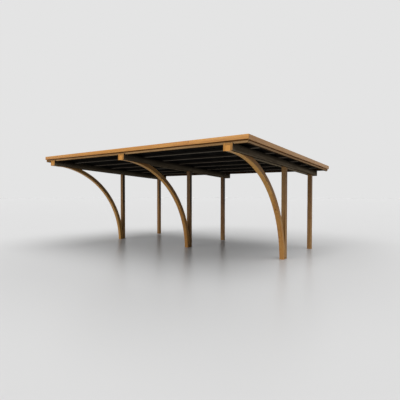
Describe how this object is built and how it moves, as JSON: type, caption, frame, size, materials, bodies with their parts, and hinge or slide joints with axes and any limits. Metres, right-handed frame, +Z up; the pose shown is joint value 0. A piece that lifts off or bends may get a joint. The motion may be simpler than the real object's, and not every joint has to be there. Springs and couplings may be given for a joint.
{
  "type": "double carport",
  "caption": "Open timber carport for two cars: square posts, curved glulam braces, twin-plank beams and a flat pitched roof with a proud fascia.",
  "frame": {"origin": "on the ground, at the middle of the foot of the middle front post", "axes": "+X along the drive-in front to the viewer's right, +Y from the front to the rear, +Z up"},
  "size_m": [7.22, 5.038, 2.832],
  "materials": {
    "post_glulam": "stained planed glulam",
    "brace_glulam": "stained planed glulam",
    "beam_timber": "stained planed timber",
    "rim_timber": "stained planed timber",
    "fascia_timber": "stained planed board",
    "purlin_timber": "stained planed timber",
    "roof_metal": "dark coated ribbed sheet"
  },
  "bodies": {
    "root": {"beam_plank_left_a": "beam_timber", "beam_plank_left_b": "beam_timber", "beam_plank_middle_a": "beam_timber", "beam_plank_middle_b": "beam_timber", "beam_plank_right_a": "beam_timber", "beam_plank_right_b": "beam_timber", "curved_brace_left": "brace_glulam", "curved_brace_middle": "brace_glulam", "curved_brace_right": "brace_glulam", "front_block_left": "beam_timber", "front_block_middle": "beam_timber", "front_block_right": "beam_timber", "front_fascia": "fascia_timber", "front_post_left": "post_glulam", "front_post_middle": "post_glulam", "front_post_right": "post_glulam", "front_rim": "rim_timber", "left_fascia": "fascia_timber", "left_rim": "rim_timber", "purlin_1": "purlin_timber", "purlin_2": "purlin_timber", "purlin_3": "purlin_timber", "purlin_4": "purlin_timber", "purlin_5": "purlin_timber", "purlin_6": "purlin_timber", "rear_block_left": "beam_timber", "rear_block_middle": "beam_timber", "rear_block_right": "beam_timber", "rear_fascia": "fascia_timber", "rear_post_left": "post_glulam", "rear_post_middle": "post_glulam", "rear_post_right": "post_glulam", "rear_rim": "rim_timber", "right_fascia": "fascia_timber", "right_rim": "rim_timber", "roof_sheet": "roof_metal"}
  },
  "joints": []
}
